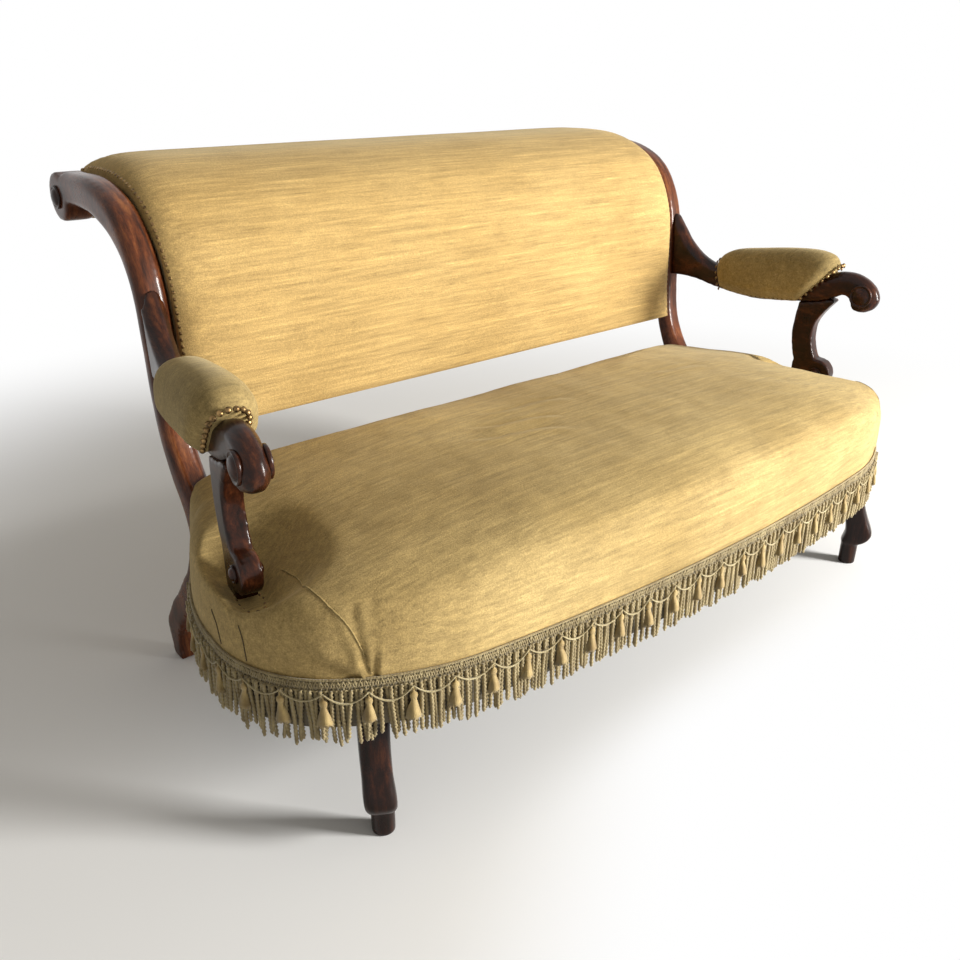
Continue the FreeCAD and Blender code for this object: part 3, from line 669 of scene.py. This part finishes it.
def twisted_cord(top, along, out, drop, radius, lean, flare, turn):
    """A hanging two-ply cord, with its plies wound round each other and a rounded tip."""
    rows = []
    steps = 46
    for k in range(steps + 1):
        t = k / steps
        middle = top + along * (lean * t + 0.8 * math.sin(5 * t + turn))
        middle = middle + out * (flare * t) - Vector((0, 0, drop * t))
        wide = radius * (1.0 if t < 0.95 else 1.0 - 0.5 * (t - 0.95) / 0.05)
        ring = []
        for i in range(7):
            a = 2 * math.pi * i / 7
            ply = 1.0 + 0.3 * math.cos(2 * (a - turn) - 2 * math.pi * drop * t / 6.6)
            ring.append(middle + along * (wide * ply * math.cos(a)) + out * (wide * ply * math.sin(a)))
        rows.append(ring)
    return rows


CORD_PITCH = 6.9
CORD_RADIUS = 2.95
GAP_SHADE_DROP = 62.0     # the dark sheet behind the cords, painted shade for the gaps between them, hangs this far below the braid


def make_cords():
    """Twisted cords side by side, less tidy at the left end, before a dark sheet of painted shade for the
    gaps between them.
    """
    cords = Heap()
    gap_shade = Heap()
    count = int(HEM_LENGTH / CORD_PITCH)
    line = hem_line(4.0, BRAID_LOW + 3.0, count)
    for i, (spot, along, out) in enumerate(line):
        untidy = smooth_step(-560, -700, spot.x)
        drop = CORD_DROP * (1.0 + dice.uniform(-0.035, 0.05))
        drop += 3.0 * math.sin(i * 0.9) + untidy * dice.uniform(-6, 5)
        lean = dice.gauss(0, 1.3 + 4.0 * untidy)
        flare = dice.uniform(-2.0, 3.2) + untidy * dice.uniform(0, 5)
        start = spot + out * (1.6 if i % 2 else -1.2)
        cords.add(twisted_cord(start, along, out, drop, CORD_RADIUS, lean, flare, dice.uniform(0, 6.28)))
    # A dark sheet behind the cords: painted shade for the gaps between them
    band = []
    for spot, along, out in hem_line(0.3, 0, 240):
        band.append([spot + out * d + Vector((0, 0, z)) for d, z in
                     ((0, BRAID_LOW - GAP_SHADE_DROP), (1.0, BRAID_LOW - GAP_SHADE_DROP), (1.0, BRAID_LOW),
                      (0, BRAID_LOW))])
    gap_shade.add(band)
    piece = cords.piece("fringe_cords", fringe_cord)
    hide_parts("fringe_skirt")
    behind = gap_shade.piece("fringe_gap_shade", fringe_shade)


TASSEL_STRANDS = 44
# Depth below the cord's top, and radius
TASSEL_SHAPE = [(0, 1.3), (9, 1.4), (12, 2.2), (13.4, 4.6), (16, 6.3), (19.5, 6.9), (23, 6.0), (25.2, 4.4),
                (26.6, 4.9), (28.2, 4.4), (31, 5.6), (38, 7.4), (46, 9.2), (54, 10.8), (61, 11.8)]
SWAG_SAG = 17.0
SWAG_STEPS = 14


def tassel_rows(top, along, out, size):
    """A cord, a round knot, a bound neck and a skirt of fine strands, flattened against the fringe."""
    down = Vector((0, 0, -1))
    strands = TASSEL_STRANDS
    rows = []
    sway = dice.uniform(-2.5, 2.5)
    ends = [dice.uniform(-2.6, 2.6) for k in range(strands)]
    for depth, radius in TASSEL_SHAPE:
        ring = []
        skirt = smooth_step(28, 46, depth)
        for k in range(strands):
            a = 2 * math.pi * k / strands
            ridge = 1.0 + skirt * (0.17 if k % 2 else -0.19)
            tail = ends[k] * smooth_step(50, 61, depth)
            r = radius * ridge * size
            ring.append(top + down * (depth * size + tail) + along * (r * math.cos(a) + sway * skirt)
                        + out * (r * 0.62 * math.sin(a)))
        rows.append(ring)
    return rows


def make_tassels():
    tassels = Heap()
    swags = Heap()
    line = hem_line(9.4, BRAID_LOW + 2.0, 2 * TASSEL_COUNT + 1)
    tops = line[1::2]
    for spot, along, out in tops:
        tassels.add(tassel_rows(spot, along, out, dice.uniform(0.78, 0.88)))
    piece = tassels.piece("fringe_tassels", tassel_silk)
    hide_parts("tassels")
    shares = [k / SWAG_STEPS for k in range(SWAG_STEPS + 1)]
    for (a, _, out_a), (b, _, out_b) in zip(tops, tops[1:]):
        deep = SWAG_SAG * dice.uniform(0.85, 1.15)
        swing = [a.lerp(b, u) + out_a.lerp(out_b, u) - Vector((0, 0, deep * 4 * u * (1 - u))) for u in shares]
        swags.add(tube_rows(swing, lambda u: 1.35 + 0.25 * math.sin(u * 80), 6))
    swag = swags.piece("fringe_swags", swag_cord)


make_braid()
make_cords()
make_tassels()


# Back

def post_point(index, ahead):
    before = POST_LINE[max(index - 1, 0)]
    after = POST_LINE[min(index + 1, len(POST_LINE) - 1)]
    run = math.hypot(after[0] - before[0], after[1] - before[1])
    y, z, depth = POST_LINE[index]
    return (y - ahead * (after[1] - before[1]) / run, z + ahead * (after[0] - before[0]) / run)


def roll_point(angle, reach):
    a = math.radians(angle)
    return (BACK_SCROLL[0] + reach * math.cos(a), BACK_SCROLL[1] + reach * math.sin(a))


ROLL_EDGE = 15.0        # the pad's edge above the roll rail


def back_profile(share):
    """The back pad's front line, from its bottom edge over the roll, at a share of its full swell."""
    line = []
    for i, swell in enumerate(BACK_SWELL):
        edge = POST_LINE[BACK_START + i][2] / 2.0 + BACK_EDGE_RISE
        line.append(post_point(BACK_START + i, edge + (swell - edge) * share))
    for angle, over in BACK_ROLL:
        line.append(roll_point(angle, ROLL_RADIUS + ROLL_EDGE + (over - ROLL_EDGE) * share))
    return curve_through(line, 90)


def make_back():
    lining = [post_point(BACK_START + i, 3.5) for i in range(len(BACK_SWELL))]
    lining += [roll_point(angle, ROLL_RADIUS + 3.0) for angle, over in BACK_ROLL]
    inner = curve_through(lining, 24)[::-1]
    rows = []
    half = BACK_HALF - 1.0
    insets = [0, 1.5, 4, 8, 13, 19, 26, 35, 46, 60, 78, 100, 130]
    places = [-half + d for d in insets]
    places += [-half + 130 + (2 * half - 260) * k / 60.0 for k in range(1, 60)]
    places += [half - d for d in reversed(insets)]
    for x in places:
        inward = half - abs(x)
        share = 1.0 - math.exp(-inward / 24.0)
        row = []
        for k, (y, z) in enumerate(back_profile(share)):
            p = Vector((x, y, z))
            soft = min(inward / 60.0, 1.0)
            row.append(p + Vector((0, -1, 0.3)) * (noise.noise(p * 0.005) * 2.0 * soft))
        row += [Vector((x, y, z)) for y, z in inner]
        rows.append(row)
    pad = skinned("back_upholstery", rows, back_velvet)
    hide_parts("back_pad")


make_back()


def dome(place, out, radius, rise):
    """Rings of a low dome on a surface."""
    across = out.orthogonal().normalized()
    other = out.cross(across)
    rows = []
    turns = [2 * math.pi * k / 10 for k in range(10)]
    for share, wide in ((-0.5, 0.97), (0.12, 1.0), (0.45, 0.88), (0.78, 0.6), (0.96, 0.26), (1.0, 0.06)):
        middle = place + out * (rise * share)
        rows.append([middle + (across * math.cos(a) + other * math.sin(a)) * (radius * wide) for a in turns])
    return rows


CLOTH_THICK = 1.6


def make_back_cloth():
    """The outside back: a sheet stretched from the bottom rail to the roll."""
    stations = range(BACK_START, BACK_START + len(BACK_SWELL))
    outer = curve_through([post_point(i, -POST_LINE[i][2] / 2.0) for i in stations], 48)
    inner = curve_through([post_point(i, CLOTH_THICK - POST_LINE[i][2] / 2.0) for i in stations], 48)
    half = BACK_HALF - 0.8
    rows = []
    for c in range(65):
        x = -half + 2 * half * c / 64
        taut = 1.0 - (x / half) ** 4

        def placed(point, k):
            ripple = 0.5 * noise.noise(Vector((x, point[0], point[1])) * 0.01)
            give = 1.8 * taut * math.sin(math.pi * k / 47) + ripple
            return Vector((x, point[0] - give * taut, point[1]))

        rows.append([placed(p, k) for k, p in enumerate(outer)]
                    + [placed(p, 47 - k) for k, p in enumerate(inner[::-1])])
    cloth = skinned("outside_back", rows, back_velvet)
    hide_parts("back_cover")


def make_back_nails():
    nails = Heap()
    front = back_profile(0.03)
    reach = sum(math.dist(a, b) for a, b in zip(front, front[1:]))
    line = curve_through(front, int(reach / 11.0))
    rear = curve_through([post_point(BACK_START + i, -POST_LINE[BACK_START + i][2] / 2.0)
                          for i in range(len(BACK_SWELL))], 34)
    for sign in (-1, 1):
        for path, inset, facing in ((line, 5.5, -1), (rear, 8.0, 1)):
            for i in range(1, len(path) - 1):
                (ya, za), (yb, zb) = path[i - 1], path[i + 1]
                along = Vector((0, yb - ya, zb - za)).normalized()
                out = Vector((0, -along.z, along.y)) * -facing
                place = Vector((sign * (BACK_HALF - inset), path[i][0], path[i][1]))
                nails.add(dome(place + out * 0.9, out, 4.3 * dice.uniform(0.95, 1.05), 2.6))
    low_y, low_z = rear[0]
    for k in range(61):
        place = Vector((-BACK_HALF + 22 + (2 * BACK_HALF - 44) * k / 60, low_y, low_z + 9))
        nails.add(dome(place, Vector((0, 0.98, -0.2)), 4.2, 2.4))
    nails.piece("back_nails", brass)


make_back_cloth()
make_back_nails()


# Arms

def on_arm(p, side):
    """A point given in the arm's own plane, x across it, moved to the left (-1) or right (1) arm."""
    y = p[1] - ARM_BACK[1]
    x = p[0] * math.cos(ARM_SPLAY) - y * math.sin(ARM_SPLAY)
    y = p[0] * math.sin(ARM_SPLAY) + y * math.cos(ARM_SPLAY)
    return Vector((side * (x + ARM_BACK[0]), y + ARM_BACK[1], p[2]))


def pad_section(y, low, high, share, lean):
    half_low = ARM_THICK / 2.0 + PAD_EDGE
    half = half_low + (PAD_SIDE - PAD_EDGE) * share
    tall = high - low
    right = [(half_low, y + lean, low)]
    right += [(half * x, y + lean * (1 - rise), low + tall * rise) for x, rise in PAD_SECTION]
    left = [(-x, a, z) for x, a, z in reversed(right)]
    return right + [(0, y, high)] + left


def make_arm_pad(side, name):
    rows = []
    for section in curve_through(ARM_PAD, 44):
        ring = curve_through(pad_section(*section), 40)
        y_low = ring[0][1]
        ring += [(x, y_low, section[1] + 3.0) for x in (-16.0, 0.0, 16.0)]
        rows.append([on_arm(p, side) for p in ring])
    if side < 0:
        rows = [row[::-1] for row in rows]
    pad = skinned("arm_rest_" + name, rows, pad_velvet)
    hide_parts("arm_pad_" + name)


# Line of nails over the arm at the pad's front end: across the arm, and height
NAIL_ARCH = [(-29, 566), (-29.5, 600), (-26, 626), (-14, 640), (0, 643), (14, 640), (26, 626), (29.5, 600),
             (29, 566)]


def make_arm_nails():
    """Domed nails along the lower edge of both pads and over the arm at either end."""
    nails = Heap()
    for side in (-1, 1):
        def fix(point, aim, size):
            place = on_arm(point, side)
            out = (on_arm([point[i] + aim[i] * 10 for i in range(3)], side) - place).normalized()
            nails.add(dome(place + out * 0.6, out, size, size * 0.62))
        y, low, high, share, lean = ARM_PAD[0]
        for x, z in curve_through(NAIL_ARCH, 18):
            fix((x, y + lean * (1 - (z - low) / (high - low)) - 2.2, z), (x / 45.0, -0.95, 0.35), 4.7)
        y, low, high, share, lean = ARM_PAD[-2]
        for x, across, z in curve_through(pad_section(y, low, high, share, lean), 14):
            fix((x, across + 3.0, z - 3), (x / 60.0, 0.9, 0.25), 4.2)
        edge = [(ARM_THICK / 2 + PAD_EDGE, y + lean, low) for y, low, high, share, lean in ARM_PAD]
        foot = curve_through(edge, 19)
        for x, y, z in foot[1:-1]:
            for face in (-1, 1):
                fix((face * (x + 1.2), y, z + 5), (face, 0, -0.3), 4.2)
    nails.piece("arm_nails", brass)


def turned(place, out, radius, rise):
    """Rings of a turned boss: a flat rim, a cove and a domed middle."""
    across = out.orthogonal().normalized()
    other = out.cross(across)
    shape = [(-0.3, 1.0), (0.36, 1.0), (0.46, 0.95), (0.42, 0.86), (0.28, 0.80), (0.36, 0.74), (0.62, 0.66),
             (0.84, 0.48), (0.96, 0.26), (1.0, 0.04)]
    return [[place + out * (rise * h) + (across * math.cos(a) + other * math.sin(a)) * (radius * r)
             for a in (2 * math.pi * k / 36 for k in range(36))] for h, r in shape]


def make_bosses():
    groups = {"back_scroll_bosses": [], "arm_scroll_bosses": [], "support_scroll_bosses": []}
    on_arms = (("arm_scroll_bosses", ARM_BOSS), ("support_scroll_bosses", SUPPORT_BOSS))
    for side in (-1, 1):
        centre = Vector((side * (BACK_HALF + POST_THICK), *BACK_SCROLL))
        groups["back_scroll_bosses"].append(turned(centre, Vector((side, 0, 0)), 20.0, BOSS_RISE))
        for face in (-1, 1):
            for group, (y, z, radius, shift, thick) in on_arms:
                centre = on_arm((shift + face * thick / 2.0, y, z), side)
                out = (centre - on_arm((shift - face * 30.0, y, z), side)).normalized()
                groups[group].append(turned(centre, out, radius, BOSS_RISE))
    for node, bodies in groups.items():
        heap = Heap()
        for rows in bodies:
            heap.add(rows)
        piece = heap.piece("turned_" + node, boss_wood)
        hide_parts(node)


make_arm_pad(-1, "left")
make_arm_pad(1, "right")
make_arm_nails()
make_bosses()


# Front legs, rounder than the sawn solids: height, middle ahead of the foot, depth, width, outward
LEG_SECTIONS = [
    (0, 0, 33, 33, 0), (3, 0, 36, 36, 0), (44, 0, 37, 37, 0), (50, 1, 40, 39, 0), (55, 4, 49, 44, 1),
    (64, 9, 56, 49, 3), (76, 12, 58, 50, 4), (90, 9, 55, 49, 5), (110, 2, 50, 47, 6), (140, -8, 46, 47, 7),
    (180, -17, 46, 48, 7), (212, -26, 48, 49, 5), (232, -32, 50, 50, 2), (262, -32, 50, 50, 0),
    (294, -32, 50, 50, 0),
]


def make_front_leg(sign, name):
    """A cabriole leg with softened corners, a swelling knee and a turned peg foot."""
    ahead = Vector((sign * math.sin(LEG_TURN), -math.cos(LEG_TURN), 0))
    across = Vector((sign * math.cos(LEG_TURN), math.sin(LEG_TURN), 0))
    rows = []
    for z, middle, deep, wide, outward in curve_through(LEG_SECTIONS, 70):
        centre = Vector((sign * (FRONT_FOOT[0] + outward), FRONT_FOOT[1], z)) + ahead * middle
        square = smooth_step(40, 60, z) * 0.42 + smooth_step(150, 232, z) * 0.3
        ring = []
        for k in range(40):
            a = 2 * math.pi * k / 40
            c, d = math.cos(a), math.sin(a)
            power = 1.0 - square
            u = math.copysign(abs(c) ** power, c)
            v = math.copysign(abs(d) ** power, d)
            ring.append(centre + across * (u * wide / 2.0) + ahead * (v * deep / 2.0))
        rows.append(ring if sign > 0 else ring[::-1])
    leg = skinned("cabriole_leg_" + name, rows, leg_wood)
    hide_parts("front_leg_" + name)


make_front_leg(-1, "left")
make_front_leg(1, "right")


def make_support_tacks():
    """Small tacks in the cover where it is turned under round the foot of each support."""
    tacks = Heap()
    across, half = SUPPORT_BOSS[3], 17.0
    ring = [(across - half - 3, -22), (across - half - 3, -100), (across, -119), (across + half + 3, -100),
            (across + half + 3, -22)]
    for side in (-1, 1):
        for x, y in curve_through(ring, 17):
            spot, normal = seat_surface.find_nearest(on_arm((x, y, 338), side))[:2]
            tacks.add(dome(spot + normal * 0.3, normal, 2.6 * dice.uniform(0.8, 1.2), 1.8))
    tacks.piece("support_tacks", brass)


make_support_tacks()


# Dust cloth under the seat


def make_dust_cloth():
    """The bottom cloth's own outline, divided and hanging a little slack between its tacks."""
    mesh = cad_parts["bottom_cloth"].data.copy()
    mesh.name = "dust_cloth_below"
    body = bmesh.new()
    body.from_mesh(mesh)
    bmesh.ops.remove_doubles(body, verts=body.verts, dist=0.00002)
    for turn in range(4):
        bmesh.ops.triangulate(body, faces=body.faces)
        long_edges = [e for e in body.edges if e.calc_length() > 0.09]
        bmesh.ops.subdivide_edges(body, edges=long_edges, cuts=1)
    bmesh.ops.triangulate(body, faces=body.faces)
    for v in body.verts:
        near = max(0.0, 1.0 - (v.co.x / 0.70) ** 2) * max(0.0, 1.0 - ((v.co.y + 0.21) / 0.26) ** 2)
        v.co.z -= 0.004 * near + 0.0006 * near * noise.noise(v.co * 25)
    body.to_mesh(mesh)
    body.free()
    mesh.materials.clear()
    mesh.materials.append(dust_cloth)
    cloth = bpy.data.objects.new("dust_cloth_below", mesh)
    bpy.context.scene.collection.objects.link(cloth)
    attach(cloth, "root")
    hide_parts("bottom_cloth")


make_dust_cloth()


# Floor, light and camera

# Painted light: besides the white far floor, the floor shows white to camera and glossy rays on the lit side
# in front of the seat, over its own shading, while the shadow side keeps its grey
FLOOR_FADE = (1.1, 2.6)             # the floor goes white between these distances from the sofa's middle
OPEN_SIDE = (0.57, -0.82, 0)        # and on this side, where no shadow falls,
OPEN_FADE = (0.08, 0.42)            # between these distances
AHEAD_FADE = (-0.42, -0.60)         # and only in front of the seat
SKY_SIDE = (0.80, -0.15, 0.58)      # the soft light is strongest from here
SKY_FADE = (-0.55, 0.75)


def eased(tree, value, ends, to=(0.0, 1.0)):
    """A value that goes smoothly from to[0] at ends[0] to to[1] at ends[1]."""
    node = tree.nodes.new("ShaderNodeMapRange")
    node.interpolation_type = "SMOOTHSTEP"
    node.inputs["From Min"].default_value, node.inputs["From Max"].default_value = ends
    node.inputs["To Min"].default_value, node.inputs["To Max"].default_value = to
    tree.links.new(value, node.inputs["Value"])
    return node.outputs["Result"]


def reach_along(tree, vector, direction):
    node = tree.nodes.new("ShaderNodeVectorMath")
    node.operation = "DOT_PRODUCT"
    node.inputs[1].default_value = direction
    tree.links.new(vector, node.inputs[0])
    return node.outputs["Value"]


def seen_rays(tree):
    """1 for the rays that show the background: camera, glossy and transmission rays."""
    rays = tree.nodes.new("ShaderNodeLightPath")
    seen = math_node(tree, "MAXIMUM", rays.outputs["Is Camera Ray"], rays.outputs["Is Glossy Ray"])
    return math_node(tree, "MAXIMUM", seen, rays.outputs["Is Transmission Ray"])


def make_stage():
    material, tree, shader = node_material("floor")
    shader.inputs["Base Color"].default_value = (0.86, 0.86, 0.86, 1)
    shader.inputs["Roughness"].default_value = 0.9
    place = tree.nodes.new("ShaderNodeTexCoord")
    reach = tree.nodes.new("ShaderNodeVectorMath")
    reach.operation = "LENGTH"
    tree.links.new(place.outputs["Object"], reach.inputs[0])
    depth = tree.nodes.new("ShaderNodeSeparateXYZ")
    tree.links.new(place.outputs["Object"], depth.inputs["Vector"])
    sunlit = eased(tree, reach_along(tree, place.outputs["Object"], OPEN_SIDE), OPEN_FADE)
    painted_lit_floor = math_node(tree, "MULTIPLY", sunlit, eased(tree, depth.outputs["Y"], AHEAD_FADE))
    pale = math_node(tree, "MAXIMUM", eased(tree, reach.outputs["Value"], FLOOR_FADE), painted_lit_floor)
    white = tree.nodes.new("ShaderNodeEmission")
    white.inputs["Strength"].default_value = 1.0
    blend = tree.nodes.new("ShaderNodeMixShader")
    tree.links.new(math_node(tree, "MULTIPLY", seen_rays(tree), pale), blend.inputs["Fac"])
    tree.links.new(shader.outputs["BSDF"], blend.inputs[1])
    tree.links.new(white.outputs["Emission"], blend.inputs[2])
    tree.links.new(blend.outputs["Shader"], tree.nodes["Material Output"].inputs["Surface"])
    mesh = bpy.data.meshes.new("floor")
    mesh.from_pydata([(-9, -9, 0), (9, -9, 0), (9, 9, 0), (-9, 9, 0)], [], [(0, 1, 2, 3)])
    mesh.materials.append(material)
    floor = bpy.data.objects.new("floor", mesh)
    bpy.context.scene.collection.objects.link(floor)


def make_world(light):
    """A white background, and soft light that goes from light[0] to light[1] towards SKY_SIDE."""
    world = bpy.data.worlds.new("studio")
    bpy.context.scene.world = world
    world.use_nodes = True
    tree = world.node_tree
    tree.nodes.clear()
    soft = tree.nodes.new("ShaderNodeBackground")
    soft.inputs["Color"].default_value = (1.0, 0.95, 0.86, 1)
    place = tree.nodes.new("ShaderNodeTexCoord")
    level = eased(tree, reach_along(tree, place.outputs["Generated"], SKY_SIDE), SKY_FADE, light)
    tree.links.new(level, soft.inputs["Strength"])
    white = tree.nodes.new("ShaderNodeBackground")
    white.inputs["Color"].default_value = (1, 1, 1, 1)
    blend = tree.nodes.new("ShaderNodeMixShader")
    out = tree.nodes.new("ShaderNodeOutputWorld")
    tree.links.new(seen_rays(tree), blend.inputs["Fac"])
    tree.links.new(soft.outputs["Background"], blend.inputs[1])
    tree.links.new(white.outputs["Background"], blend.inputs[2])
    tree.links.new(blend.outputs["Shader"], out.inputs["Surface"])


def area_light(name, place, aim, size, power, colour):
    lamp = bpy.data.lights.new(name, "AREA")
    lamp.shape = "RECTANGLE"
    lamp.size = size[0]
    lamp.size_y = size[1]
    lamp.energy = power
    lamp.color = colour
    obj = bpy.data.objects.new(name, lamp)
    bpy.context.scene.collection.objects.link(obj)
    obj.location = place
    obj.rotation_euler = (Vector(aim) - Vector(place)).to_track_quat("-Z", "Y").to_euler()


CAMERA_PLACE = (-1230.3, -1171.8, 1046.7)
CAMERA_YAW = math.radians(40.1)
CAMERA_PITCH = math.radians(26.4)
CAMERA_FOCAL = 925.0            # in the photograph's pixels, as are the next two
CAMERA_CENTRE = (478.0, 522.0)
PHOTO_WIDE = 960.0


def make_camera():
    """The photograph's viewpoint, fitted to the sofa's posts, arms, legs, seat and back."""
    yaw, pitch, wide = CAMERA_YAW, CAMERA_PITCH, PHOTO_WIDE
    forward = Vector((math.sin(yaw) * math.cos(pitch), math.cos(yaw) * math.cos(pitch), -math.sin(pitch)))
    lens = bpy.data.cameras.new("camera")
    lens.sensor_width = 36.0
    lens.lens = CAMERA_FOCAL / wide * lens.sensor_width
    lens.shift_x = (wide / 2 - CAMERA_CENTRE[0]) / wide
    lens.shift_y = (CAMERA_CENTRE[1] - wide / 2) / wide
    camera = bpy.data.objects.new("camera", lens)
    bpy.context.scene.collection.objects.link(camera)
    camera.location = to_frame(CAMERA_PLACE)
    camera.rotation_euler = forward.to_track_quat("-Z", "Y").to_euler()
    bpy.context.scene.camera = camera


make_stage()
make_world((0.12, 0.50))
area_light("key", (2.5, -3.6, 1.45), (0, 0, 0.4), (0.9, 1.6), 410, (1.0, 0.985, 0.95))
make_camera()
bpy.context.scene.view_settings.view_transform = "Standard"
